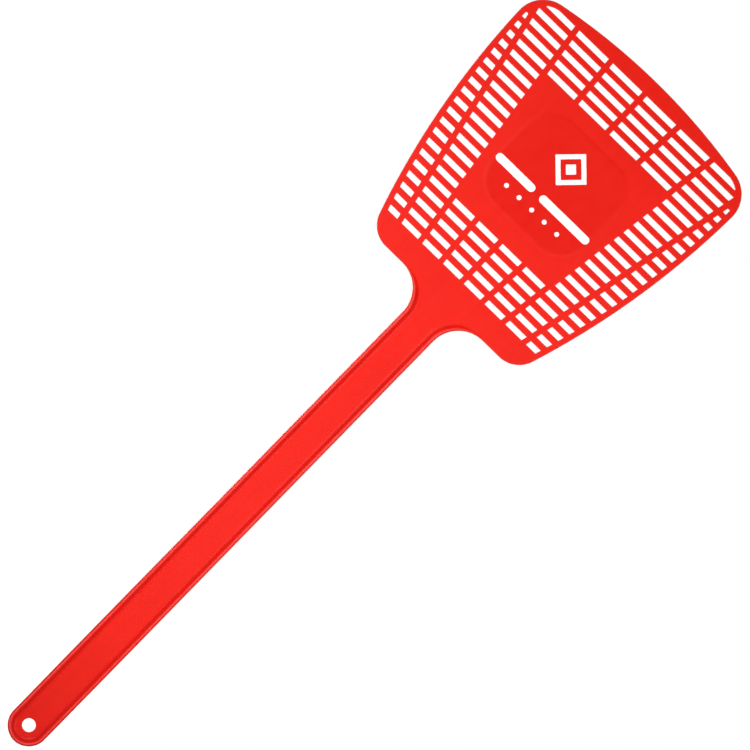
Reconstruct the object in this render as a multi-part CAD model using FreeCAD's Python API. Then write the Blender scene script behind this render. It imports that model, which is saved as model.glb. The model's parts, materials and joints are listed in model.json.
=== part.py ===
import FreeCAD, Part
import math
import os
from collections import namedtuple

# A one-piece moulded fly swatter with a white mark printed on its front.
# The moulding is divided along its own feature lines into solids that meet face to face.
# Frame: origin at the hang hole's centre on the mid-plane, +Z up the handle to the head,
# +X to the right and the printed front towards -Y. All sizes are in millimetres.

os.makedirs("parts", exist_ok=True)

# Handle
OVERALL_LENGTH = 406.4
HANDLE_HALF_WIDTH = 9.5
HANG_HOLE_RADIUS = 3.0
PLATE_THICKNESS = 1.6
RIM_THICKNESS = 4.8
RIM_WIDTH = 4.3
RIM_CREST_INSET = 1.0
FLEX_BOTTOM = 160.0
FLEX_TOP = 240.0

# Head outline
SHOULDER_Z = 261.5
NECK_FILLET_RADIUS = 15.3
BOTTOM_CORNER_RADIUS = 12.8
SIDE_RADIUS = 374.0
HEAD_HALF_WIDTH = 65.75
WIDEST_Z = 386.6
TOP_CORNER_RADIUS = 14.6
TOP_RADIUS = 300.0

# Grille
RAIL_WIDTH = 2.7
FIRST_SLOT_TOP = 389.5
SLOT_HEIGHT = 2.6
FIRST_PITCH = 5.235
PITCH_GROWTH = 0.0155
ROWS_ABOVE_PANEL = 5
ROWS_BESIDE_PANEL = 12
ROWS_BELOW_PANEL = 5
RIBS_EACH_SIDE = 3
RIB_WIDTH = 2.7
FAN_APEX_Z = 89.1
FAN_SLOPE = 0.0693
PANEL_EDGE_RIB = 2
SMALLEST_OPENING_AREA = 1.0

# Print pad and the marks on it
PAD_WIDTH = 59.0
PAD_HEIGHT = 52.0
PAD_CORNER_RADIUS = 16.0
PAD_CENTRE_Z = 333.2
PAD_STEP = 0.12
INK_THICKNESS = 0.05
EMBLEM_Z = 342.9
EMBLEM_HALF_DIAGONAL = 9.6
EMBLEM_LINE = 2.2
EMBLEM_CORE_HALF_DIAGONAL = 3.2
BAR_Z = 324.9
BAR_HEIGHT = 3.8
BAR_LENGTHS = (23.0, 29.5)
BAR_GAP = 3.7
DOT_Z = 318.0
DOT_RADIUS = 1.1
DOT_SPACING = 7.75
DOT_COUNT = 5

# Worked out from the sizes above
HALF_PLATE = PLATE_THICKNESS / 2
HALF_RIM = RIM_THICKNESS / 2
TOP_Z = OVERALL_LENGTH - HANDLE_HALF_WIDTH
ROWS = ROWS_ABOVE_PANEL + ROWS_BESIDE_PANEL + ROWS_BELOW_PANEL
FILLET_X = HANDLE_HALF_WIDTH + NECK_FILLET_RADIUS
FILLET_Z = SHOULDER_Z - NECK_FILLET_RADIUS
FAR = 2 * OVERALL_LENGTH
FRONT = -1
BACK = 1

# The rim's rounded ridge narrows and sinks along the neck fillet until this much width is left
RIM_END_WIDTH = 0.6
RIM_SECTIONS = 15
RIM_SINK_POWER = 1.5
RIM_MARGIN = 0.5

# How full the ridge's curves are, as shares of its rise and of its outer and inner slopes
OUTER_FULLNESS_UP = 0.6
OUTER_FULLNESS_ACROSS = 0.45
INNER_FULLNESS = 0.42

# Two points closer than this are the same point
TOUCHING = 1e-6

# An arc of the outline: bulge is +1 where the material is inside the arc and -1 where it is outside
Arc = namedtuple("Arc", "x z radius start end bulge")


def outline_arcs():
    """The arcs of the outline's right half, from the butt end's lowest point to the top of the head."""
    side_x = HEAD_HALF_WIDTH - SIDE_RADIUS
    low_z = SHOULDER_Z + BOTTOM_CORNER_RADIUS
    reach = SIDE_RADIUS - BOTTOM_CORNER_RADIUS
    low_x = side_x + math.sqrt(reach**2 - (WIDEST_Z - low_z) ** 2)
    crown_z = TOP_Z - TOP_RADIUS
    high_x, high_z = circles_meet(
        side_x, WIDEST_Z, SIDE_RADIUS - TOP_CORNER_RADIUS, 0.0, crown_z, TOP_RADIUS - TOP_CORNER_RADIUS
    )
    low_angle = math.atan2(low_z - WIDEST_Z, low_x - side_x)
    high_angle = math.atan2(high_z - WIDEST_Z, high_x - side_x)
    crown_angle = math.atan2(high_z - crown_z, high_x)
    quarter = math.pi / 2
    return [
        Arc(0.0, 0.0, HANDLE_HALF_WIDTH, -quarter, 0.0, 1),
        Arc(FILLET_X, FILLET_Z, NECK_FILLET_RADIUS, math.pi, quarter, -1),
        Arc(low_x, low_z, BOTTOM_CORNER_RADIUS, -quarter, low_angle, 1),
        Arc(side_x, WIDEST_Z, SIDE_RADIUS, low_angle, high_angle, 1),
        Arc(high_x, high_z, TOP_CORNER_RADIUS, high_angle, crown_angle, 1),
        Arc(0.0, crown_z, TOP_RADIUS, crown_angle, quarter, 1),
    ]


def circles_meet(x1, z1, r1, x2, z2, r2):
    """The right-hand meeting point of two circles."""
    dx, dz = x2 - x1, z2 - z1
    gap = math.hypot(dx, dz)
    along = (gap**2 + r1**2 - r2**2) / (2 * gap)
    across = math.sqrt(r1**2 - along**2)
    foot_x, foot_z = x1 + along * dx / gap, z1 + along * dz / gap
    options = [(foot_x + s * across * dz / gap, foot_z - s * across * dx / gap) for s in (1, -1)]
    return max(options)


def at(x, z, y=0.0):
    return FreeCAD.Vector(x, y, z)


def chain(arcs, inset=0.0):
    """The edges of a run of arcs moved inward by inset, joined by straight lines, and its two ends."""
    edges = []
    ends = []
    for arc in arcs:
        radius = arc.radius - arc.bulge * inset
        angles = (arc.start, (arc.start + arc.end) / 2, arc.end)
        points = [at(arc.x + radius * math.cos(a), arc.z + radius * math.sin(a)) for a in angles]
        if ends:
            edges += line(ends[-1], points[0])
        edges.append(Part.Arc(*points).toShape())
        ends += [points[0], points[-1]]
    return edges, ends[0], ends[-1]


def line(start, end):
    """A straight edge in a list, or an empty list where the two ends already meet."""
    return [Part.makeLine(start, end)] if start.distanceToPoint(end) > TOUCHING else []


def face_within(edges):
    return Part.Face(Part.Wire(Part.__sortEdges__(edges)))


def outline_face(inset):
    """The whole outline, moved inward by inset, as a flat face on the mid-plane."""
    edges, _, _ = chain(outline_arcs(), inset)
    return face_within(edges + [mirrored(edge) for edge in edges])


def slab(face, half_thickness):
    """A face on the mid-plane, thickened equally to the front and the back."""
    moved = face.copy()
    moved.translate(at(0, 0, -half_thickness))
    return moved.extrude(at(0, 0, 2 * half_thickness))


def polygon(points):
    corners = [at(x, z) for x, z in points]
    return Part.Face(Part.makePolygon(corners + corners[:1]))


def window(x_low, x_high, z_low, z_high):
    """A box that keeps one stretch of the width and the height, and all of the thickness."""
    return Part.makeBox(x_high - x_low, 2 * FAR, z_high - z_low, at(x_low, z_low, -FAR))


def band(z_low, z_high):
    return window(-FAR, FAR, z_low, z_high)


def one_solid(shape):
    """The shape with its needless seams removed, which must be a single solid."""
    solids = shape.removeSplitter().Solids
    if len(solids) != 1:
        raise ValueError("expected one solid, found %d" % len(solids))
    return solids[0]


def mirrored(shape):
    return shape.mirror(at(0, 0), at(1, 0))


# ---- Raised rim ----


def ridge_curves(share):
    """Poles of the ridge's outer and inner curves, as (distance from the edge, height) pairs.

    share is 1 for the full ridge and 0 where it has sunk into the plate.
    """
    rise = share * (HALF_RIM - HALF_PLATE)
    foot = RIM_END_WIDTH + share * (RIM_WIDTH - RIM_END_WIDTH)
    crest = foot * RIM_CREST_INSET / RIM_WIDTH
    slope = foot - crest
    top = HALF_PLATE + rise
    outer = [
        (0.0, HALF_PLATE),
        (0.0, HALF_PLATE + OUTER_FULLNESS_UP * rise),
        (OUTER_FULLNESS_ACROSS * crest, top),
        (crest, top),
    ]
    inner = [
        (crest, top),
        (crest + INNER_FULLNESS * slope, top),
        (crest + INNER_FULLNESS * slope, HALF_PLATE),
        (foot, HALF_PLATE),
    ]
    return outer, inner


def rim_section(place, share=1.0, margin=0.0):
    """The rim's section as a closed wire; place turns (distance from the edge, height) into a point.

    margin adds flat land on both sides, for a section that is cut back to the rim's band later.
    """
    outer, inner = ridge_curves(share)
    low, high = -margin, RIM_WIDTH + margin
    foot = inner[-1][0]
    edges = [Part.makeLine(place(d, -HALF_PLATE), place(d, HALF_PLATE)) for d in (low, high)]
    for side in (FRONT, BACK):
        for poles in (outer, inner):
            curve = Part.BezierCurve()
            curve.setPoles([place(d, side * y) for d, y in poles])
            edges.append(curve.toShape())
        for start, end in ((low, 0.0), (foot, high)):
            edges += line(place(start, side * HALF_PLATE), place(end, side * HALF_PLATE))
    return Part.Wire(Part.__sortEdges__(edges))


def straight_rim(z_low, z_high):
    """The right-hand rim between two heights of the straight handle."""
    wire = rim_section(lambda d, y: at(HANDLE_HALF_WIDTH - d, z_low, y))
    return Part.Face(wire).extrude(at(0, z_high - z_low))


def butt_rim():
    """The half ring of rim round the handle's butt end, below the hang hole."""
    section = Part.Face(rim_section(lambda d, y: at(HANDLE_HALF_WIDTH - d, 0.0, y)))
    return section.revolve(at(0, 0), at(0, 0, 1), 180)


def throat_band():
    """The right-hand band, RIM_WIDTH wide, that the rim keeps to from the flexing length to the shoulder."""
    ring = slab(outline_face(0.0), HALF_RIM).cut(slab(outline_face(RIM_WIDTH), HALF_RIM))
    return ring.common(window(0.0, FILLET_X, FLEX_TOP, SHOULDER_Z + RIM_WIDTH))


def throat_rim():
    """The right-hand rim past the flexing length, sinking into the plate along the neck fillet."""
    wires = []
    for i in range(RIM_SECTIONS):
        t = i / (RIM_SECTIONS - 1)
        angle = math.pi - t * math.pi / 2
        share = 1.0 - (t * t * (3.0 - 2.0 * t)) ** RIM_SINK_POWER

        def place(d, y, angle=angle):
            radius = NECK_FILLET_RADIUS + d
            return at(FILLET_X + radius * math.cos(angle), FILLET_Z + radius * math.sin(angle), y)

        wires.append(rim_section(place, share, RIM_MARGIN))
    ridge = Part.makeLoft(wires, True, False)
    curved = ridge.common(throat_band())
    return one_solid(straight_rim(FLEX_TOP, FILLET_Z).fuse(curved))


# ---- Grille ----


def slot_top(row):
    """The height of a row's upper edge; the rows draw slightly apart towards the handle."""
    return FIRST_SLOT_TOP - row * FIRST_PITCH - PITCH_GROWTH * row * (row - 1) / 2


def below_row(row):
    """The middle of the cross bar below a row, where one part of the head ends and the next begins."""
    if row == ROWS - 1:
        return slot_top(row) - SLOT_HEIGHT - (FIRST_PITCH - SLOT_HEIGHT) / 2
    return (slot_top(row) - SLOT_HEIGHT + slot_top(row + 1)) / 2


PANEL_TOP = below_row(ROWS_ABOVE_PANEL - 1)
PANEL_BOTTOM = below_row(ROWS_ABOVE_PANEL + ROWS_BESIDE_PANEL - 1)
GRILLE_BOTTOM = below_row(ROWS - 1)


def rib_x(number, z):
    """A rib's centre line; every rib points at one spot on the handle."""
    return number * FAN_SLOPE * (z - FAN_APEX_Z)


def fan(left, right, z_low, z_high):
    """A four-sided slab between two (rib number, shift) lines that follow the fan."""
    corners = [
        (rib_x(left[0], z_low) + left[1], z_low),
        (rib_x(right[0], z_low) + right[1], z_low),
        (rib_x(right[0], z_high) + right[1], z_high),
        (rib_x(left[0], z_high) + left[1], z_high),
    ]
    return slab(polygon(corners), HALF_PLATE)


def panel_block():
    edge = RIB_WIDTH / 2
    return fan((-PANEL_EDGE_RIB, -edge), (PANEL_EDGE_RIB, edge), PANEL_BOTTOM, PANEL_TOP)


def openings(inner_head):
    """Every slot of the grille, as a list of solids."""
    edge = RIB_WIDTH / 2
    numbers = range(-RIBS_EACH_SIDE, RIBS_EACH_SIDE + 1)
    ribs = [fan((n, -edge), (n, edge), GRILLE_BOTTOM, TOP_Z) for n in numbers]
    slots = []
    for row in range(ROWS):
        top = slot_top(row)
        strip = inner_head.common(band(top - SLOT_HEIGHT, top)).cut(ribs + [panel_block()])
        slots += [s for s in strip.Solids if s.Volume > SMALLEST_OPENING_AREA * PLATE_THICKNESS]
    return slots


# ---- Marks ----


def diamond(half_diagonal):
    points = [(half_diagonal, 0), (0, half_diagonal), (-half_diagonal, 0), (0, -half_diagonal)]
    return polygon([(x, EMBLEM_Z + z) for x, z in points])


def rounded_rectangle(centre_x, centre_z, width, height, radius):
    x, z = width / 2 - radius, height / 2 - radius
    quarter = math.pi / 2
    corners = [(x, -z), (x, z), (-x, z), (-x, -z)]
    arcs = []
    for i, (corner_x, corner_z) in enumerate(corners):
        start = (i - 1) * quarter
        arcs.append(Arc(centre_x + corner_x, centre_z + corner_z, radius, start, start + quarter, 1))
    edges, first, last = chain(arcs)
    return face_within(edges + line(last, first))


def disc(x, z, radius):
    return Part.Face(Part.Wire(Part.makeCircle(radius, at(x, z), at(0, 0, 1))))


def front_layer(face, under, thickness):
    """A layer of the given thickness on the front, whose back is at the depth under."""
    moved = face.copy()
    moved.translate(at(0, 0, FRONT * under))
    return moved.extrude(at(0, 0, FRONT * thickness))


def ink(faces):
    layers = [front_layer(face, HALF_PLATE + PAD_STEP, INK_THICKNESS) for face in faces]
    return Part.makeCompound(layers)


def emblem_faces():
    ring = diamond(EMBLEM_HALF_DIAGONAL).cut(diamond(EMBLEM_HALF_DIAGONAL - EMBLEM_LINE * math.sqrt(2)))
    return [ring.Faces[0], diamond(EMBLEM_CORE_HALF_DIAGONAL)]


def bar_faces():
    faces = []
    start = -(sum(BAR_LENGTHS) + BAR_GAP * (len(BAR_LENGTHS) - 1)) / 2
    for length in BAR_LENGTHS:
        faces.append(rounded_rectangle(start + length / 2, BAR_Z, length, BAR_HEIGHT, BAR_HEIGHT / 2))
        start += length + BAR_GAP
    return faces


def dot_faces():
    middle = (DOT_COUNT - 1) / 2
    return [disc((i - middle) * DOT_SPACING, DOT_Z, DOT_RADIUS) for i in range(DOT_COUNT)]


# ---- Sub-parts ----


def both_sides(name, shape):
    """The right-hand shape and its mirror image, under the two sides' names."""
    return {name + "_right": shape, name + "_left": mirrored(shape)}


def handle_parts():
    inside = slab(outline_face(RIM_WIDTH), HALF_PLATE)
    hole = Part.makeCylinder(HANG_HOLE_RADIUS, 2 * FAR, at(0, 0, -FAR), at(0, 0, 1))
    return {
        "handle_web": one_solid(inside.common(band(-FAR, FLEX_BOTTOM)).cut(hole)),
        "butt_rim": butt_rim(),
        "flex_web": one_solid(inside.common(band(FLEX_BOTTOM, FLEX_TOP))),
        **both_sides("handle_rim", straight_rim(0.0, FLEX_BOTTOM)),
        **both_sides("flex_rim", straight_rim(FLEX_BOTTOM, FLEX_TOP)),
    }


def shoulder_parts():
    plate = slab(outline_face(0.0), HALF_PLATE).common(band(FLEX_TOP, GRILLE_BOTTOM))
    ridge_band = throat_band()
    return {
        "shoulder_plate": one_solid(plate.cut([ridge_band, mirrored(ridge_band)])),
        **both_sides("throat_rim", throat_rim()),
    }


def head_parts():
    whole = slab(outline_face(0.0), HALF_PLATE)
    inner = slab(outline_face(RAIL_WIDTH), HALF_PLATE)
    slots = openings(inner)
    panel = panel_block()
    rail = whole.cut(inner).common(window(0.0, FAR, GRILLE_BOTTOM, FIRST_SLOT_TOP))
    sides = inner.common(band(PANEL_BOTTOM, PANEL_TOP)).cut([panel] + slots)
    left, right = sorted(sides.Solids, key=lambda solid: solid.CenterOfMass.x)
    return {
        **both_sides("side_rail", one_solid(rail)),
        "top_rail": one_solid(whole.common(band(FIRST_SLOT_TOP, FAR))),
        "grille_top": one_solid(inner.common(band(PANEL_TOP, FIRST_SLOT_TOP)).cut(slots)),
        "grille_bottom": one_solid(inner.common(band(GRILLE_BOTTOM, PANEL_BOTTOM)).cut(slots)),
        "grille_left": one_solid(left),
        "grille_right": one_solid(right),
        "centre_panel": one_solid(panel),
    }


def printed_parts():
    pad = rounded_rectangle(0.0, PAD_CENTRE_Z, PAD_WIDTH, PAD_HEIGHT, PAD_CORNER_RADIUS)
    return {
        "imprint_pad": one_solid(front_layer(pad, HALF_PLATE, PAD_STEP)),
        "printed_diamond": ink(emblem_faces()),
        "printed_bars": ink(bar_faces()),
        "printed_dots": ink(dot_faces()),
    }


for group in (handle_parts(), shoulder_parts(), head_parts(), printed_parts()):
    for name, shape in group.items():
        shape.exportStep("parts/%s.step" % name)
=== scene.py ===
import json
import math

import bmesh
import bpy
from mathutils import Matrix, Vector
from mathutils.geometry import delaunay_2d_cdt


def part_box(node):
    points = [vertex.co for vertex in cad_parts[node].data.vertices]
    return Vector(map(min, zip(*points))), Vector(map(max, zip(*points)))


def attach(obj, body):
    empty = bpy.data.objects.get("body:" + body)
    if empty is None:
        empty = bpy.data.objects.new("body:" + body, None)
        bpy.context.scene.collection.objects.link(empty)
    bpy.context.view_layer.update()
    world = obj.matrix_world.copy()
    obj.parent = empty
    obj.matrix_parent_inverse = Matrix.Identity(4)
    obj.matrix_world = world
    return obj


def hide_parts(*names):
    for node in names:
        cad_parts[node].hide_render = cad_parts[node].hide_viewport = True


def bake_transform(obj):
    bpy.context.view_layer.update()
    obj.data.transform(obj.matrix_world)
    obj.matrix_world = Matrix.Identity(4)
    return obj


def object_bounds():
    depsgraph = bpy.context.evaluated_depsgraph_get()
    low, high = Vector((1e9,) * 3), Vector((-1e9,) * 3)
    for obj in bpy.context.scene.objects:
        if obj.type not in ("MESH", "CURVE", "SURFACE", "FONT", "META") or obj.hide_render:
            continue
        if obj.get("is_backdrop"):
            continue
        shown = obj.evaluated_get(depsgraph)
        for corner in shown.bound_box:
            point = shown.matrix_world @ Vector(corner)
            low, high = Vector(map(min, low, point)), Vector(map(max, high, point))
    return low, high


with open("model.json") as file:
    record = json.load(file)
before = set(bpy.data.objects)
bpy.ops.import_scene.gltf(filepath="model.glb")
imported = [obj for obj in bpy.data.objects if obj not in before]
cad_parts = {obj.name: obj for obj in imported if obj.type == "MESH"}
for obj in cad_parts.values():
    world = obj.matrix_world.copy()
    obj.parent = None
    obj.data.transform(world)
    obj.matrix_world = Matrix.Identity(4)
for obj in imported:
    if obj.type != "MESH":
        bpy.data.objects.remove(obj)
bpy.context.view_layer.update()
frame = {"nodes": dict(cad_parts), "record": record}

# A one-piece moulded fly swatter: one continuous red moulding and the white ink printed on it.
# Lengths are in millimetres up to the point where a mesh is made. Plan points are (x, z) pairs.
# The bump heights of the materials and the sizes of the stage are in metres.
MM = 0.001
FRONT = -1
BACK = 1


def span(node):
    """A CAD node's lowest and highest corners, in millimetres."""
    low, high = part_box(node)
    return low / MM, high / MM


# ---- Sizes read from the frame ----

HALF_WIDTH = span("butt_rim")[1].x
HALF_RIM = span("butt_rim")[1].y
HALF_PLATE = span("handle_web")[1].y
RIM_WIDTH = HALF_WIDTH - span("handle_web")[1].x
FILLET_X = span("throat_rim_right")[1].x
SHOULDER_Z = span("throat_rim_right")[1].z - RIM_WIDTH
TOP_Z = span("top_rail")[1].z
FIRST_SLOT_TOP = span("top_rail")[0].z
MOUNTS = {mount["name"]: mount for mount in frame["record"]["mounts"]}
HANG_HOLE_RADIUS = MOUNTS["hang_hole"]["dims"]["r_mm"]
NECK_RADIUS = FILLET_X - HALF_WIDTH
FILLET_Z = SHOULDER_Z - NECK_RADIUS

# ---- Sizes of the head and its grille ----

BOTTOM_CORNER_RADIUS = 12.8
SIDE_RADIUS = 374.0
HEAD_HALF_WIDTH = 65.75
WIDEST_Z = 386.6
TOP_CORNER_RADIUS = 14.6
TOP_RADIUS = 300.0
RAIL_WIDTH = 2.7
SLOT_HEIGHT = 2.6
FIRST_PITCH = 5.235
PITCH_GROWTH = 0.0155
ROWS = 22
PANEL_ROWS = range(5, 17)
PANEL_COLUMNS = range(-2, 2)
RIBS_EACH_SIDE = 3
RIB_WIDTH = 2.7
FAN_APEX_Z = 89.1
FAN_SLOPE = 0.0693
SMALLEST_OPENING_AREA = 1.0

# ---- Sizes of the moulding's edges and small marks ----

RIM_CREST = 1.0
RIM_SINK_POWER = 1.5
OUTER_FULLNESS_UP = 0.6
OUTER_FULLNESS_ACROSS = 0.45
INNER_FULLNESS = 0.42
EDGE_RADIUS = 0.3
PARTING_BEAD = 0.05
PARTING_BEAD_HALF_HEIGHT = 0.1
WALL_DRAFT = 0.04
SLOT_CORNER_RADIUS = 0.25
SLOT_EDGE = 0.16
HOLE_EDGE = 0.3
SUPPORT = 0.15
PAD_CORNER_RADIUS = 16.0
PAD_SLOPE = 2.4
EJECTOR_RADIUS = 2.5
EJECTOR_DEPTH = 0.07
HANDLE_EJECTOR_SHARES = (0.08, 0.36, 0.64, 0.92)
PANEL_EJECTOR_MARGIN = 7.0
LOW_PANEL_EJECTOR_X = 23.0
HIGH_PANEL_EJECTOR_X = 31.0
GATE_RADIUS = 3.2
GATE_DEPTH = 0.3
GATE_NUB_RADIUS = 0.9
# Two upper rings of the stub: the share of its radius, and the share of the recess's depth.
GATE_NUB_SHOULDER = (0.9, 0.6)
GATE_NUB_TOP = (0.6, 0.7)

# ---- Rubbing and painted light kept for each point: 1 is a crest paled by rubbing and a painted highlight, 0 is plain, -1 is painted shade on the rim's inner slope ----

BEAD_WEAR = 0.2
PARTING_WEAR = 0.3
WALL_WEAR = 0.1
OPENING_WALL_WEAR = 0.4
OPENING_EDGE_WEAR = 0.8
# How tightly the painted crest highlight gathers at the crest, and the painted shade down the rim's inner
# slope, which fades as the rim sinks.
CREST_HIGHLIGHT_POWER = 8
SLOPE_PAINTED_SHADE = (0.0, 0.5, 1.0, 1.0, 0.7, 0.25, 0.0)
PAINTED_SHADE_SINK_POWER = 3

# ---- Fineness of the meshes ----

LONGEST_STEP = 2.0
LARGEST_TURN = math.radians(5.0)
CORNER_STEP = math.radians(30.0)
DIAMOND_CORNER_STEP = math.radians(15.0)
NO_CORNER = math.radians(8.0)
CURVE_STEPS = 7
HOLE_STEPS = 96
MARK_STEPS = 48
BAR_END_STEPS = 24
FLOOR_STEPS = 96
TOUCHING = 0.03
CLOSEST_POINTS = 1e-5
TRIANGLES_INSIDE = 1


# ---- Outline ----


def circles_meet(centre_a, radius_a, centre_b, radius_b):
    """The right-hand meeting point of two circles."""
    apart = centre_b - centre_a
    gap = apart.length
    along = (gap**2 + radius_a**2 - radius_b**2) / (2 * gap)
    across = math.sqrt(radius_a**2 - along**2)
    foot = centre_a + apart * (along / gap)
    sideways = Vector((apart.y, -apart.x)) * (across / gap)
    return max(foot + sideways, foot - sideways, key=lambda point: point.x)


def outline_arcs():
    """(centre, radius, start angle, end angle, bulge) up the outline's right half.

    bulge is 1 where the material is inside the arc and -1 where it is outside.
    """
    side = Vector((HEAD_HALF_WIDTH - SIDE_RADIUS, WIDEST_Z))
    crown = Vector((0.0, TOP_Z - TOP_RADIUS))
    low_z = SHOULDER_Z + BOTTOM_CORNER_RADIUS
    low_reach = math.sqrt((SIDE_RADIUS - BOTTOM_CORNER_RADIUS) ** 2 - (WIDEST_Z - low_z) ** 2)
    low = Vector((side.x + low_reach, low_z))
    high = circles_meet(side, SIDE_RADIUS - TOP_CORNER_RADIUS, crown, TOP_RADIUS - TOP_CORNER_RADIUS)
    low_angle = math.atan2(low.y - side.y, low.x - side.x)
    high_angle = math.atan2(high.y - side.y, high.x - side.x)
    crown_angle = math.atan2(high.y - crown.y, high.x)
    quarter = math.pi / 2
    return [
        (Vector((0.0, 0.0)), HALF_WIDTH, -quarter, 0.0, 1),
        (Vector((FILLET_X, FILLET_Z)), NECK_RADIUS, math.pi, quarter, -1),
        (low, BOTTOM_CORNER_RADIUS, -quarter, low_angle, 1),
        (side, SIDE_RADIUS, low_angle, high_angle, 1),
        (high, TOP_CORNER_RADIUS, high_angle, crown_angle, 1),
        (crown, TOP_RADIUS, crown_angle, quarter, 1),
    ]


def smooth(t):
    t = min(max(t, 0.0), 1.0)
    return t * t * (3.0 - 2.0 * t)


def mix(a, b, t):
    return a + (b - a) * t


def right_half():
    """The outline's right half as (point, inward direction, rim share), from the butt end up."""
    samples = []
    for centre, radius, start, end, bulge in outline_arcs():
        turn = abs(end - start)
        steps = max(math.ceil(turn * radius / LONGEST_STEP), math.ceil(turn / LARGEST_TURN))
        arc = []
        for i in range(steps + 1):
            t = i / steps
            angle = mix(start, end, t)
            outward = Vector((math.cos(angle), math.sin(angle)))
            point = centre + outward * radius
            share = 1.0 - smooth(t) ** RIM_SINK_POWER if bulge < 0 else float(point.y < FILLET_Z)
            arc.append((point, outward * -bulge, share))
        if samples:
            samples += straight(samples[-1], arc[0])
            samples += arc if (samples[-1][0] - arc[0][0]).length > TOUCHING else arc[1:]
        else:
            samples = arc
    return samples


def straight(first, last):
    """Evenly spaced samples between two others, without the two themselves."""
    steps = math.ceil((last[0] - first[0]).length / LONGEST_STEP)
    return [(first[0].lerp(last[0], i / steps), first[1], first[2]) for i in range(1, steps)]


def flipped(pair):
    return Vector((-pair.x, pair.y))


def whole_outline():
    right = right_half()
    left = [(flipped(point), flipped(inward), share) for point, inward, share in reversed(right[1:-1])]
    return right + left


def bezier(poles, steps):
    """Points along a cubic curve, without its first one."""
    points = []
    for i in range(1, steps + 1):
        t = i / steps
        weights = ((1 - t) ** 3, 3 * t * (1 - t) ** 2, 3 * t**2 * (1 - t), t**3)
        points.append(tuple(sum(w * pole[k] for w, pole in zip(weights, poles)) for k in (0, 1)))
    return points


def edge_profile(share):
    """(distance inside the outline, height, rubbing and painted light) from the parting line to the plate's
    flat; the third value pales the crest with a painted highlight and is below 0 on the inner slope, which
    is painted shade.

    share is 1 for the handle's full rim and 0 for the head's plain rounded edge.
    """
    wall_top = HALF_PLATE - (1.0 - share) * EDGE_RADIUS
    wall = PARTING_BEAD + WALL_DRAFT
    rise = mix(EDGE_RADIUS, HALF_RIM - HALF_PLATE, share)
    top = wall_top + rise
    crest = wall + mix(EDGE_RADIUS, RIM_CREST - wall, share)
    foot = mix(crest + SUPPORT, RIM_WIDTH, share)
    slope = foot - crest
    outer = [
        (wall, wall_top),
        (wall, wall_top + OUTER_FULLNESS_UP * rise),
        (mix(wall, crest, OUTER_FULLNESS_ACROSS), top),
        (crest, top),
    ]
    inner = [
        (crest, top),
        (crest + INNER_FULLNESS * slope, top),
        (crest + INNER_FULLNESS * slope, HALF_PLATE),
        (foot, HALF_PLATE),
    ]
    rows = [
        (0.0, 0.0, PARTING_WEAR),
        (PARTING_BEAD, PARTING_BEAD_HALF_HEIGHT, BEAD_WEAR),
        (wall, wall_top, WALL_WEAR),
    ]
    # The rows climb towards the crest, which is paled: a painted highlight on top of rubbing.
    climbs = [((i + 1) / CURVE_STEPS) ** CREST_HIGHLIGHT_POWER for i in range(CURVE_STEPS)]
    rows += [(d, y, climb) for (d, y), climb in zip(bezier(outer, CURVE_STEPS), climbs)]
    fades = climbs[-2::-1] + [0.0]
    # Below 0 down the rim's inner slope: painted shade, fading where the rim sinks.
    for (d, y), fade, painted_shade in zip(bezier(inner, CURVE_STEPS), fades, SLOPE_PAINTED_SHADE):
        rows.append((d, y, fade - share**PAINTED_SHADE_SINK_POWER * painted_shade))
    rows.append((foot + SUPPORT, HALF_PLATE, 0.0))
    return rows


# ---- Openings ----


def clip(polygon, direction, reach):
    """The part of a convex polygon that lies no further than reach along direction."""
    kept = []
    for a, b in zip(polygon, polygon[1:] + polygon[:1]):
        over_a, over_b = a.dot(direction) - reach, b.dot(direction) - reach
        if over_a <= 0:
            kept.append(a)
        if over_a * over_b < 0:
            kept.append(a.lerp(b, over_a / (over_a - over_b)))
    return kept


def area(polygon):
    pairs = zip(polygon, polygon[1:] + polygon[:1])
    return abs(sum(a.x * b.y - b.x * a.y for a, b in pairs)) / 2


def beside_rib(polygon, number, side, inset):
    """The part of a polygon on one side of a rib: side is 1 for its right and -1 for its left."""
    lean = number * FAN_SLOPE
    length = math.hypot(1.0, lean)
    direction = Vector((-side, side * lean)) / length
    return clip(polygon, direction, (side * lean * FAN_APEX_Z - RIB_WIDTH / 2) / length - inset)


def slot_top(row):
    """The height of a row's upper edge; the rows draw slightly apart towards the handle."""
    return FIRST_SLOT_TOP - row * FIRST_PITCH - PITCH_GROWTH * row * (row - 1) / 2


def head_inside(inset):
    """The head's outline moved inward, as a convex polygon."""
    corner_start = SHOULDER_Z - TOUCHING
    head = [s for s in right_half() if s[2] == 0.0 and s[0].y > corner_start and s[1].x <= TOUCHING]
    right = [point + inward * inset for point, inward, share in head]
    return right + [flipped(point) for point in reversed(right)]


def slot_core(head, row, column, inset):
    """A slot's outline moved inward: between two ribs, or between a rib and the rail."""
    up = Vector((0.0, 1.0))
    core = clip(head, up, slot_top(row) - inset)
    core = clip(core, -up, SLOT_HEIGHT - slot_top(row) - inset)
    if column >= -RIBS_EACH_SIDE:
        core = beside_rib(core, column, 1, inset)
    if column < RIBS_EACH_SIDE:
        core = beside_rib(core, column + 1, -1, inset)
    return core


def slot_cores():
    """Every slot's convex core, which a ring rounds at SLOT_CORNER_RADIUS."""
    whole = head_inside(RAIL_WIDTH)
    shrunk = head_inside(RAIL_WIDTH + SLOT_CORNER_RADIUS)
    cores = []
    for row in range(ROWS):
        for column in range(-RIBS_EACH_SIDE - 1, RIBS_EACH_SIDE + 1):
            if row in PANEL_ROWS and column in PANEL_COLUMNS:
                continue
            nominal = slot_core(whole, row, column, 0.0)
            if len(nominal) > 2 and area(nominal) > SMALLEST_OPENING_AREA:
                cores.append(slot_core(shrunk, row, column, SLOT_CORNER_RADIUS))
    return cores


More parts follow.
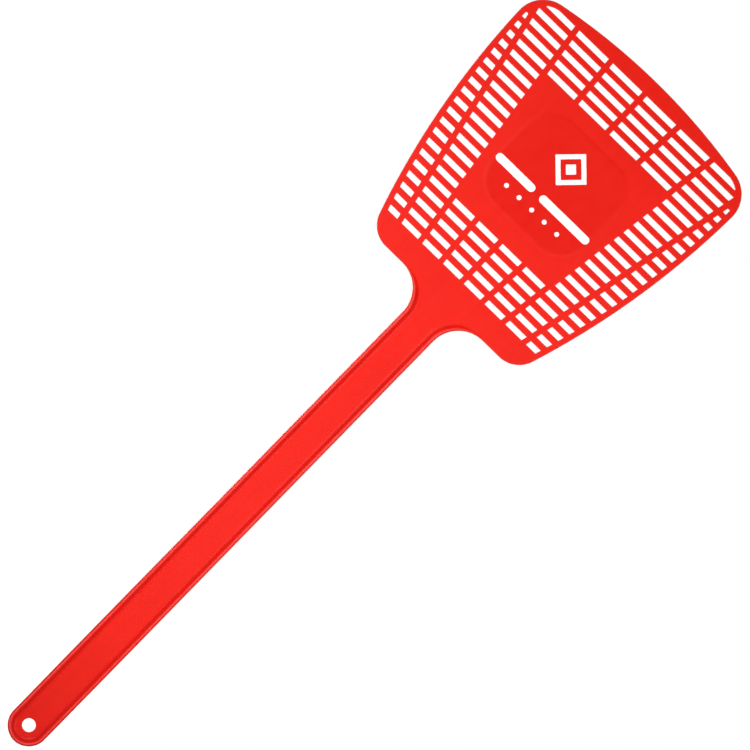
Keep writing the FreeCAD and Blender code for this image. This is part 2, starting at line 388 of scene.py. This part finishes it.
def rays_round(core, corner_step=CORNER_STEP):
    """(corner, direction) pairs round a convex core; the ring at radius r is corner + r * direction."""
    apart = [p for p, q in zip(core, core[1:] + core[:1]) if (p - q).length > TOUCHING]
    if sum(a.x * b.y - b.x * a.y for a, b in zip(apart, apart[1:] + apart[:1])) < 0:
        apart.reverse()
    rays = []
    for before, corner, after in zip(apart[-1:] + apart[:-1], apart, apart[1:] + apart[:1]):
        start = math.atan2(before.x - corner.x, corner.y - before.y)
        turn = (math.atan2(corner.x - after.x, after.y - corner.y) - start) % math.tau
        steps = max(1, round(turn / corner_step)) if NO_CORNER < turn < math.pi else 0
        for i in range(steps + 1):
            angle = start + turn * (i / steps if steps else 0.5 * (turn < math.pi))
            rays.append((corner, Vector((math.cos(angle), math.sin(angle)))))
    return rays


def rays_from(centre, count):
    """Evenly spaced (corner, direction) pairs round one point."""
    turns = [math.tau * i / count for i in range(count)]
    return [(centre, Vector((math.cos(a), math.sin(a)))) for a in turns]


def rectangle(centre, width, height):
    right, up = Vector((width / 2, 0.0)), Vector((0.0, height / 2))
    return [centre - right - up, centre + right - up, centre + right + up, centre - right + up]


# ---- Mesh building ----


class Surface:
    """A mesh in the making: points in millimetres, faces, and two values kept for each point."""

    def __init__(self):
        self.points = []
        self.faces = []
        self.wear_and_painted_light = []
        self.pad = []

    def ring(self, plan, height, wear_and_painted_light=0.0, pad=0.0):
        """Adds a closed ring of plan points, at one height or one each, and returns its numbers."""
        first = len(self.points)
        heights = height if isinstance(height, list) else [height] * len(plan)
        wear_and_light_values = wear_and_painted_light if isinstance(wear_and_painted_light, list) else [wear_and_painted_light] * len(plan)
        self.points += [Vector((p.x, y, p.y)) for p, y in zip(plan, heights)]
        self.wear_and_painted_light += wear_and_light_values
        self.pad += [pad] * len(plan)
        return list(range(first, len(self.points)))

    def around(self, rays, radius, height, wear_and_painted_light=0.0, pad=0.0):
        return self.ring([corner + direction * radius for corner, direction in rays], height, wear_and_painted_light, pad)

    def strip(self, a, b):
        """Joins two rings that have the same number of points."""
        for i in range(len(a)):
            j = (i + 1) % len(a)
            self.faces.append((a[i], a[j], b[j], b[i]))

    def fill(self, outer, holes=()):
        """Fills the flat face inside an outer ring, leaving out the convex holes."""
        rings = [outer, *holes]
        numbers = [number for ring in rings for number in ring]
        owner = [which for which, ring in enumerate(rings) for number in ring]
        flat = [Vector((self.points[n].x, self.points[n].z)) for n in numbers]
        edges = []
        first = 0
        for ring in rings:
            edges += [(first + i, first + (i + 1) % len(ring)) for i in range(len(ring))]
            first += len(ring)
        found = delaunay_2d_cdt(flat, edges, [], TRIANGLES_INSIDE, CLOSEST_POINTS)
        for face in found[2]:
            corners = [found[3][corner][0] for corner in face]
            owners = {owner[corner] for corner in corners}
            if len(owners) > 1 or owners == {0}:
                self.faces.append(tuple(numbers[corner] for corner in corners))

    def make(self, name, material):
        """The closed, smooth-shaded mesh object, in metres."""
        mesh = bpy.data.meshes.new(name)
        mesh.from_pydata([point * MM for point in self.points], [], self.faces)
        work = bmesh.new()
        work.from_mesh(mesh)
        bmesh.ops.recalc_face_normals(work, faces=work.faces)
        work.to_mesh(mesh)
        work.free()
        for label, values in (("wear_and_painted_light", self.wear_and_painted_light), ("pad", self.pad)):
            mesh.attributes.new(label, "FLOAT", "POINT").data.foreach_set("value", values)
        rest = [value for point in self.points for value in point * MM]
        mesh.attributes.new("rest", "FLOAT_VECTOR", "POINT").data.foreach_set("vector", rest)
        mesh.shade_smooth()
        mesh.materials.append(material)
        made = bpy.data.objects.new(name, mesh)
        bpy.context.scene.collection.objects.link(made)
        return made


def pierce(surface, rays, radius, edge):
    """The wall of an opening through the plate. Returns its rings on the front and on the back."""
    middle = surface.around(rays, radius - WALL_DRAFT, 0.0, BEAD_WEAR)
    ends = []
    for side in (FRONT, BACK):
        last = middle
        levels = [(0.0, HALF_PLATE - edge, OPENING_WALL_WEAR)]
        for angle in (math.pi / 4, math.pi / 2):
            reach, drop = edge * (1 - math.cos(angle)), edge * (1 - math.sin(angle))
            levels.append((reach, HALF_PLATE - drop, OPENING_EDGE_WEAR))
        levels.append((edge + SUPPORT, HALF_PLATE, 0.0))
        for reach, height, wear_and_painted_light in levels:
            ring = surface.around(rays, radius + reach, side * height, wear_and_painted_light)
            surface.strip(last, ring)
            last = ring
        ends.append(last)
    return ends


def steps_on(surface, rays, levels, side, pad=(0.0, 0.0)):
    """A chain of rings on one face from the first level to the last. Returns the two end rings."""
    rings = []
    for i, (radius, height) in enumerate(levels):
        share = i / (len(levels) - 1)
        rings.append(surface.around(rays, radius, side * height, 0.0, mix(*pad, share)))
        if i:
            surface.strip(rings[-2], rings[-1])
    return rings[0], rings[-1]


def rim_and_wall(surface):
    """The outer wall, rim and rounded edge. Returns the flat's outer ring on the front and on the back."""
    outline = whole_outline()
    profiles = [edge_profile(share) for point, inward, share in outline]
    middle = surface.ring([point for point, inward, share in outline], 0.0, profiles[0][0][2])
    ends = []
    for side in (FRONT, BACK):
        last = middle
        for level in range(1, len(profiles[0])):
            rows = [profile[level] for profile in profiles]
            plan = [point + inward * row[0] for (point, inward, share), row in zip(outline, rows)]
            ring = surface.ring(plan, [side * row[1] for row in rows], [row[2] for row in rows])
            surface.strip(last, ring)
            last = ring
        ends.append(last)
    return ends


def imprint_pad(surface):
    """The shallow raised area that the mark is printed on. Returns its outer ring on the plate."""
    low, high = span("imprint_pad")
    middle = Vector(((low.x + high.x) / 2, (low.z + high.z) / 2))
    width, height = high.x - low.x, high.z - low.z
    core = rectangle(middle, width - 2 * PAD_CORNER_RADIUS, height - 2 * PAD_CORNER_RADIUS)
    rays = rays_round(core, LARGEST_TURN)
    step = -low.y - HALF_PLATE
    levels = [(PAD_CORNER_RADIUS + SUPPORT, HALF_PLATE)]
    for i in range(CURVE_STEPS + 1):
        t = i / CURVE_STEPS
        levels.append((PAD_CORNER_RADIUS - t * PAD_SLOPE, HALF_PLATE + step * smooth(t)))
    levels.append((PAD_CORNER_RADIUS - PAD_SLOPE - SUPPORT, HALF_PLATE + step))
    outer, inner = steps_on(surface, rays, levels, FRONT, (0.0, 1.0))
    surface.fill(inner)
    return outer


def ejector_mark(surface, x, z):
    """A shallow round witness mark on the back. Returns its outer ring."""
    rays = rays_from(Vector((x, z)), MARK_STEPS)
    floor = HALF_PLATE - EJECTOR_DEPTH
    levels = [
        (EJECTOR_RADIUS + SUPPORT, HALF_PLATE),
        (EJECTOR_RADIUS, HALF_PLATE),
        (EJECTOR_RADIUS - EJECTOR_DEPTH, floor),
        (EJECTOR_RADIUS - EJECTOR_DEPTH - SUPPORT, floor),
    ]
    outer, inner = steps_on(surface, rays, levels, BACK)
    surface.fill(inner)
    return outer


def gate_mark(surface, x, z):
    """The recess where the plastic came in, with the stub of the sprue in it. Returns its outer ring."""
    rays = rays_from(Vector((x, z)), MARK_STEPS)
    floor = HALF_PLATE - GATE_DEPTH
    levels = [
        (GATE_RADIUS + SUPPORT, HALF_PLATE),
        (GATE_RADIUS, HALF_PLATE),
        (GATE_RADIUS - GATE_DEPTH / 2, floor),
        (GATE_RADIUS - GATE_DEPTH / 2 - SUPPORT, floor),
        (GATE_NUB_RADIUS + SUPPORT, floor),
        (GATE_NUB_RADIUS, floor),
    ]
    for reach, rise in (GATE_NUB_SHOULDER, GATE_NUB_TOP):
        levels.append((GATE_NUB_RADIUS * reach, floor + GATE_DEPTH * rise))
    outer, inner = steps_on(surface, rays, levels, BACK)
    surface.fill(inner)
    return outer


def ejector_places():
    """Where the ejector pins pushed: along the handle and at the panel's corners."""
    panel_low, panel_high = span("centre_panel")
    places = [(0.0, mix(HALF_WIDTH, SHOULDER_Z - HALF_WIDTH, share)) for share in HANDLE_EJECTOR_SHARES]
    low_z, high_z = panel_low.z + PANEL_EJECTOR_MARGIN, panel_high.z - PANEL_EJECTOR_MARGIN
    for x, z in ((LOW_PANEL_EJECTOR_X, low_z), (HIGH_PANEL_EJECTOR_X, high_z)):
        places += [(-x, z), (x, z)]
    return places


def moulding(material):
    surface = Surface()
    outer_front, outer_back = rim_and_wall(surface)
    front, back = [], []
    openings = [(rays_round(core), SLOT_CORNER_RADIUS, SLOT_EDGE) for core in slot_cores()]
    openings.append((rays_from(Vector((0.0, 0.0)), HOLE_STEPS), HANG_HOLE_RADIUS, HOLE_EDGE))
    for rays, radius, edge in openings:
        front_ring, back_ring = pierce(surface, rays, radius, edge)
        front.append(front_ring)
        back.append(back_ring)
    front.append(imprint_pad(surface))
    back += [ejector_mark(surface, x, z) for x, z in ejector_places()]
    panel_low, panel_high = span("centre_panel")
    back.append(gate_mark(surface, 0.0, (panel_low.z + panel_high.z) / 2))
    surface.fill(outer_front, front)
    surface.fill(outer_back, back)
    return surface.make("moulding", material)


# ---- Ink ----

INK_EDGE = 0.02
INK_RIM = 0.08
INK_CORNER_RADIUS = 0.3
EMBLEM_LINE = 2.2
EMBLEM_CORE_SHARE = 1 / 3
FIRST_BAR_LENGTH = 23.0
BAR_GAP = 3.7
DOT_COUNT = 5


def ink_layer(name, shapes, material):
    """Thin islands of ink. A shape is its outer (rays, radius), then those of its holes."""
    surface = Surface()
    low, high = span(name)
    for shape in shapes:
        tops, bottoms = [], []
        for number, (rays, radius) in enumerate(shape):
            inward = -1 if number else 1
            bottom = surface.around(rays, radius, high.y)
            shoulder = surface.around(rays, radius, low.y + INK_EDGE)
            top = surface.around(rays, radius - inward * INK_EDGE, low.y)
            inside = surface.around(rays, radius - inward * INK_RIM, low.y)
            surface.strip(bottom, shoulder)
            surface.strip(shoulder, top)
            surface.strip(top, inside)
            tops.append(inside)
            bottoms.append(bottom)
        surface.fill(tops[0], tops[1:])
        surface.fill(bottoms[0], bottoms[1:])
    return surface.make(name + "_ink", material)


def diamond_rays(centre, half_diagonal):
    """Rays round a square that stands on its corner, with its corners slightly rounded."""
    reach = half_diagonal - INK_CORNER_RADIUS * math.sqrt(2)
    right, up = Vector((reach, 0.0)), Vector((0.0, reach))
    return rays_round([centre + right, centre + up, centre - right, centre - up], DIAMOND_CORNER_STEP)


def printed_diamond():
    low, high = span("printed_diamond")
    centre = Vector(((low.x + high.x) / 2, (low.z + high.z) / 2))
    half = (high.z - low.z) / 2
    sizes = (half, half - EMBLEM_LINE * math.sqrt(2), half * EMBLEM_CORE_SHARE)
    outer, inner, core = [(diamond_rays(centre, size), INK_CORNER_RADIUS) for size in sizes]
    return [[outer, inner], [core]]


def printed_bars():
    low, high = span("printed_bars")
    radius = (high.z - low.z) / 2
    shapes = []
    for start, end in ((low.x, low.x + FIRST_BAR_LENGTH), (low.x + FIRST_BAR_LENGTH + BAR_GAP, high.x)):
        ends = [Vector((start + radius, low.z + radius)), Vector((end - radius, low.z + radius))]
        rays = []
        for point, first in ((ends[1], -math.pi / 2), (ends[0], math.pi / 2)):
            turns = [first + math.pi * i / BAR_END_STEPS for i in range(BAR_END_STEPS + 1)]
            rays += [(point, Vector((math.cos(a), math.sin(a)))) for a in turns]
        shapes.append([(rays, radius)])
    return shapes


def printed_dots():
    low, high = span("printed_dots")
    radius = (high.z - low.z) / 2
    places = [mix(low.x + radius, high.x - radius, i / (DOT_COUNT - 1)) for i in range(DOT_COUNT)]
    return [[(rays_from(Vector((x, low.z + radius)), MARK_STEPS), radius)] for x in places]


# ---- Materials ----


def new_material(name):
    """A material with a Principled shader. Returns it, its tree and the shader."""
    material = bpy.data.materials.new(name)
    material.use_nodes = True
    tree = material.node_tree
    return material, tree, tree.nodes["Principled BSDF"]


def feed(tree, socket, value):
    """Links an output into a socket, or sets the socket's own value."""
    if isinstance(value, bpy.types.NodeSocket):
        tree.links.new(value, socket)
    else:
        socket.default_value = value


def read(tree, name, output="Fac"):
    """One of the values that the mesh keeps for each point."""
    node = tree.nodes.new("ShaderNodeAttribute")
    node.attribute_name = name
    return node.outputs[output]


def stretched(tree, vector, scale):
    node = tree.nodes.new("ShaderNodeVectorMath")
    node.operation = "MULTIPLY"
    feed(tree, node.inputs[0], vector)
    node.inputs[1].default_value = scale
    return node.outputs["Vector"]


def noise(tree, vector, scale, detail=3.0, roughness=0.5):
    node = tree.nodes.new("ShaderNodeTexNoise")
    feed(tree, node.inputs["Vector"], vector)
    node.inputs["Scale"].default_value = scale
    node.inputs["Detail"].default_value = detail
    node.inputs["Roughness"].default_value = roughness
    return node.outputs["Fac"]


def mapped(tree, value, low, high, to_low, to_high):
    """value with the range low..high carried to to_low..to_high, and clamped there."""
    node = tree.nodes.new("ShaderNodeMapRange")
    feed(tree, node.inputs["Value"], value)
    for label, number in (("From Min", low), ("From Max", high), ("To Min", to_low), ("To Max", to_high)):
        node.inputs[label].default_value = number
    return node.outputs["Result"]


def math_node(tree, operation, a, b):
    node = tree.nodes.new("ShaderNodeMath")
    node.operation = operation
    feed(tree, node.inputs[0], a)
    feed(tree, node.inputs[1], b)
    return node.outputs["Value"]


def blended(tree, factor, a, b):
    """Colour a at factor 0 and colour b at factor 1."""
    node = tree.nodes.new("ShaderNodeMix")
    node.data_type = "RGBA"
    feed(tree, node.inputs["Factor"], factor)
    feed(tree, node.inputs["A"], a)
    feed(tree, node.inputs["B"], b)
    return node.outputs["Result"]


def bump(tree, height, distance, under=None):
    node = tree.nodes.new("ShaderNodeBump")
    feed(tree, node.inputs["Height"], height)
    node.inputs["Distance"].default_value = distance
    if under is not None:
        feed(tree, node.inputs["Normal"], under)
    return node.outputs["Normal"]


def in_millimetres(tree):
    """The point's place on the unbent object, in millimetres."""
    return stretched(tree, read(tree, "rest", "Vector"), (1.0 / MM, 1.0 / MM, 1.0 / MM))


def tinted(tree, factor, colour, tint):
    """The colour, multiplied by tint where the factor is 1."""
    return blended(tree, factor, colour, stretched(tree, colour, tint))


# Noise is (features per millimetre, detail, roughness); a range is (low, high) of the noise or (from, to).
CLOUDS = (0.035, 2.0)
STREAKS = (1.0, 3.0)
STREAK_STRETCH = (0.5, 0.5, 0.02)
CLOUD_SHARE = 0.6
SCUFFS = (0.25, 3.0, 0.6)
SHEEN_PATCHES = (0.25, 3.0)
WAVES = (0.09, 2.0)
TOOL_GRAIN = (2.2, 2.0, 0.5)
MIDDLE_OF_NOISE = (0.35, 0.65)
MOST_OF_NOISE = (0.3, 0.7)

DEEP_RED = (0.760, 0.0095, 0.0026, 1)
BRIGHT_RED = (0.810, 0.0113, 0.0036, 1)
PAD_RED = (0.720, 0.0072, 0.0018, 1)
# A pale red for rubbed points; on the crests it is a painted highlight.
RUBBED_AND_HIGHLIGHT_RED = (0.85, 0.16, 0.13, 1)
# Painted shade: a darker tint towards the butt end.
BUTT_PAINTED_SHADE_TINT = (0.80, 0.70, 0.75)
# Painted shade on the rim's inner slope.
SLOPE_PAINTED_SHADE_TINT = (0.88, 1.0, 2.4)
# Heights over which the painted shade at the butt end fades out.
BUTT_PAINTED_SHADE_HEIGHTS = (-10.0, 55.0)
PAD_HEIGHTS = (305.0, 360.0)
PAD_TONE_AT_TOP = 0.25
LEAST_SCUFFED = 0.6
# How far the paling from rubbing and the painted crest highlight goes.
RUBBED_AND_HIGHLIGHT_TONE = 0.52
PLASTIC_ROUGHNESS = (0.32, 0.42)
PAD_SMOOTHER = -0.05
CREST_SMOOTHER = -0.1
WAVE_HEIGHT = 0.00005
TOOL_GRAIN_HEIGHT = 0.000008
PLASTIC_IOR = 1.49
PLASTIC_SPECULAR = 0.12


def pad_tone(tree, height):
    """How much of the print pad's tone shows: all of it low on the pad, and less towards its top."""
    fade = mapped(tree, height, *PAD_HEIGHTS, 1.0, PAD_TONE_AT_TOP)
    return math_node(tree, "MULTIPLY", read(tree, "pad"), fade)


def rubbed_and_highlight_tone(tree, place):
    """How pale the point is: its kept rubbing, which on the crests is a painted highlight, broken up by
    scuffs.
    """
    scuffs = mapped(tree, noise(tree, place, *SCUFFS), *MIDDLE_OF_NOISE, LEAST_SCUFFED, 1.0)
    return math_node(tree, "MULTIPLY", math_node(tree, "MAXIMUM", read(tree, "wear_and_painted_light"), 0.0), scuffs)


def plastic_colour(tree, place, height, pad, rubbed_and_highlight):
    """Red with clouds and flow streaks, with painted shade that darkens it towards the butt end and on the
    rim's inner slope, and paler on crests from rubbing and a painted highlight.
    """
    clouds = math_node(tree, "MULTIPLY", noise(tree, place, *CLOUDS), CLOUD_SHARE)
    streaks = noise(tree, stretched(tree, place, STREAK_STRETCH), *STREAKS)
    tone = math_node(tree, "ADD", clouds, math_node(tree, "MULTIPLY", streaks, 1.0 - CLOUD_SHARE))
    colour = blended(tree, mapped(tree, tone, *MIDDLE_OF_NOISE, 0.0, 1.0), DEEP_RED, BRIGHT_RED)
    colour = blended(tree, pad, colour, PAD_RED)
    # Painted shade: darker towards the butt end.
    colour = tinted(tree, mapped(tree, height, *BUTT_PAINTED_SHADE_HEIGHTS, 1.0, 0.0), colour, BUTT_PAINTED_SHADE_TINT)
    # Painted shade on the rim's inner slope, where the kept value is below 0.
    colour = tinted(tree, mapped(tree, read(tree, "wear_and_painted_light"), -1.0, 0.0, 1.0, 0.0), colour, SLOPE_PAINTED_SHADE_TINT)
    # Paler where the kept value is above 0: rubbing, and a painted highlight on the crests.
    return blended(tree, math_node(tree, "MULTIPLY", rubbed_and_highlight, RUBBED_AND_HIGHLIGHT_TONE), colour, RUBBED_AND_HIGHLIGHT_RED)


def plastic_roughness(tree, place, pad, rubbed_and_highlight):
    """Satin, a little smoother on the pad and on rubbed crests."""
    gloss = mapped(tree, noise(tree, place, *SHEEN_PATCHES), *MOST_OF_NOISE, *PLASTIC_ROUGHNESS)
    gloss = math_node(tree, "ADD", gloss, math_node(tree, "MULTIPLY", pad, PAD_SMOOTHER))
    return math_node(tree, "ADD", gloss, math_node(tree, "MULTIPLY", rubbed_and_highlight, CREST_SMOOTHER))


def plastic_normal(tree, place):
    """Slow waves from shrinkage under a fine tool grain."""
    waves = bump(tree, noise(tree, place, *WAVES), WAVE_HEIGHT)
    return bump(tree, noise(tree, place, *TOOL_GRAIN), TOOL_GRAIN_HEIGHT, waves)


def red_plastic():
    """Satin moulded polypropylene."""
    material, tree, shader = new_material("red_plastic")
    place = in_millimetres(tree)
    parts = tree.nodes.new("ShaderNodeSeparateXYZ")
    tree.links.new(place, parts.inputs[0])
    height = parts.outputs["Z"]
    pad = pad_tone(tree, height)
    rubbed_and_highlight = rubbed_and_highlight_tone(tree, place)
    feed(tree, shader.inputs["Base Color"], plastic_colour(tree, place, height, pad, rubbed_and_highlight))
    feed(tree, shader.inputs["Roughness"], plastic_roughness(tree, place, pad, rubbed_and_highlight))
    feed(tree, shader.inputs["Normal"], plastic_normal(tree, place))
    shader.inputs["IOR"].default_value = PLASTIC_IOR
    shader.inputs["Specular IOR Level"].default_value = PLASTIC_SPECULAR
    return material


INK_PATCHES = (0.6, 3.0)
INK_MESH = (3.0, 2.0)
INK_GRAIN = (6.0, 2.0)
THIN_WHITE = (0.90, 0.885, 0.88, 1)
FULL_WHITE = (0.97, 0.965, 0.96, 1)
INK_ROUGHNESS = (0.5, 0.68)
INK_GRAIN_HEIGHT = 0.000008


def white_ink():
    """Matt pad-printing ink: a slightly uneven white with a fine grain."""
    material, tree, shader = new_material("white_ink")
    place = in_millimetres(tree)
    patches = mapped(tree, noise(tree, place, *INK_PATCHES), *MIDDLE_OF_NOISE, 0.0, 1.0)
    gloss = mapped(tree, noise(tree, place, *INK_MESH), *MOST_OF_NOISE, *INK_ROUGHNESS)
    feed(tree, shader.inputs["Base Color"], blended(tree, patches, THIN_WHITE, FULL_WHITE))
    feed(tree, shader.inputs["Roughness"], gloss)
    feed(tree, shader.inputs["Normal"], bump(tree, noise(tree, place, *INK_GRAIN), INK_GRAIN_HEIGHT))
    return material


# ---- Stage ----

VIEW_TILT = math.radians(45.7)
VIEW_CENTRE = Vector((0.0014, 0.0, 0.2175))
VIEW_WIDTH = 0.3314
VIEW_DISTANCE = 2.5
SURROUND_LIGHT = 0.10
SURROUND_SEEN = 1.0
FLOOR_RADIUS = 1.5
FLOOR_GREY = (0.6, 0.6, 0.6, 1)
FLOOR_ROUGHNESS = 0.8
FLOOR_SEEN = 0.75
FLOOR_FADE = (0.1, 0.6)
WHITE = (1.0, 1.0, 1.0, 1.0)

# Each light's place as (right, up, towards the viewer) of the picture's centre, its side and its watts
LIGHTS = {
    "key_light": ((-0.155, 0.18, 0.44), 0.3, 1.67),
    "fill_light": ((0.18, -0.155, 0.44), 0.3, 1.40),
    "handle_light": ((-0.12, -0.12, 0.75), 0.2, 0.42),
    "left_light": ((-0.28, 0.28, -0.25), 0.3, 1.0),
    "right_light": ((0.28, -0.28, -0.25), 0.3, 1.0),
    "top_light": ((0.30, 0.30, -0.15), 0.2, 0.5),
    "back_light": ((-0.12, 0.12, -0.6), 0.3, 1.4),
}


def view_axes():
    """The picture's right, its up and the direction back to the viewer, in the object's frame."""
    back = Vector((0.0, -1.0, 0.0))
    across = Vector((1.0, 0.0, 0.0))
    along = back.cross(across)
    right = along * math.cos(VIEW_TILT) + across * math.sin(VIEW_TILT)
    up = along * math.sin(VIEW_TILT) - across * math.cos(VIEW_TILT)
    return right, up, back


def facing(location, right, up, back):
    columns = Matrix((right, up, back)).transposed()
    return Matrix.Translation(location) @ columns.to_4x4()


def add_camera():
    right, up, back = view_axes()
    data = bpy.data.cameras.new("camera")
    data.lens = data.sensor_width * VIEW_DISTANCE / VIEW_WIDTH
    camera = bpy.data.objects.new("camera", data)
    camera.matrix_world = facing(VIEW_CENTRE + back * VIEW_DISTANCE, right, up, back)
    bpy.context.scene.collection.objects.link(camera)
    bpy.context.scene.camera = camera


def softbox(name, place, size, power):
    """A square area light that is aimed at the picture's centre, and that the camera doesn't see."""
    right, up, back = view_axes()
    data = bpy.data.lights.new(name, "AREA")
    data.size = size
    data.energy = power
    light = bpy.data.objects.new(name, data)
    light.visible_camera = False
    offset = right * place[0] + up * place[1] + back * place[2]
    light.location = VIEW_CENTRE + offset
    light.rotation_euler = offset.to_track_quat("Z", "Y").to_euler()
    bpy.context.scene.collection.objects.link(light)


def backdrop():
    """A white surround for the camera, and a dimmer one that lights the object."""
    world = bpy.data.worlds.new("studio")
    bpy.context.scene.world = world
    world.use_nodes = True
    tree = world.node_tree
    light = tree.nodes["Background"]
    light.inputs["Color"].default_value = WHITE
    light.inputs["Strength"].default_value = SURROUND_LIGHT
    seen = tree.nodes.new("ShaderNodeBackground")
    seen.inputs["Color"].default_value = WHITE
    seen.inputs["Strength"].default_value = SURROUND_SEEN
    path = tree.nodes.new("ShaderNodeLightPath")
    chosen = tree.nodes.new("ShaderNodeMixShader")
    tree.links.new(path.outputs["Is Camera Ray"], chosen.inputs["Fac"])
    tree.links.new(light.outputs["Background"], chosen.inputs[1])
    tree.links.new(seen.outputs["Background"], chosen.inputs[2])
    tree.links.new(chosen.outputs["Shader"], tree.nodes["World Output"].inputs["Surface"])


def floor_material():
    """Matt and nearly white for the camera, fading into the white surround away from the object."""
    material, tree, shader = new_material("pale_floor")
    feed(tree, shader.inputs["Base Color"], FLOOR_GREY)
    shader.inputs["Roughness"].default_value = FLOOR_ROUGHNESS
    path = tree.nodes.new("ShaderNodeLightPath")
    seen = math_node(tree, "MULTIPLY", path.outputs["Is Camera Ray"], FLOOR_SEEN)
    feed(tree, shader.inputs["Emission Color"], WHITE)
    feed(tree, shader.inputs["Emission Strength"], seen)
    place = tree.nodes.new("ShaderNodeNewGeometry").outputs["Position"]
    length = tree.nodes.new("ShaderNodeVectorMath")
    length.operation = "LENGTH"
    tree.links.new(place, length.inputs[0])
    feed(tree, shader.inputs["Alpha"], mapped(tree, length.outputs["Value"], *FLOOR_FADE, 1.0, 0.0))
    return material


def add_floor(lowest):
    """A round pale floor at the height of the object's lowest point."""
    plan = [direction * FLOOR_RADIUS for corner, direction in rays_from(Vector((0.0, 0.0)), FLOOR_STEPS)]
    mesh = bpy.data.meshes.new("studio_floor")
    mesh.from_pydata([Vector((p.x, p.y, lowest)) for p in plan], [], [tuple(range(len(plan)))])
    mesh.materials.append(floor_material())
    floor = bpy.data.objects.new("studio_floor", mesh)
    bpy.context.scene.collection.objects.link(floor)
    floor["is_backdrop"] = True


# ---- Assembly ----

PRINTED = {"printed_diamond": printed_diamond, "printed_bars": printed_bars, "printed_dots": printed_dots}


def build():
    body = moulding(red_plastic())
    plastic = [name for name in frame["nodes"] if name not in PRINTED]
    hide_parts(*plastic)
    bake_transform(body)
    ink = white_ink()
    for name, shapes in PRINTED.items():
        layer = ink_layer(name, shapes(), ink)
        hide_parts(name)
        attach(layer, "head")


build()
add_camera()
backdrop()
for light_name, settings in LIGHTS.items():
    softbox(light_name, *settings)
add_floor(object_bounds()[0].z)
bpy.context.scene.view_settings.view_transform = "Standard"
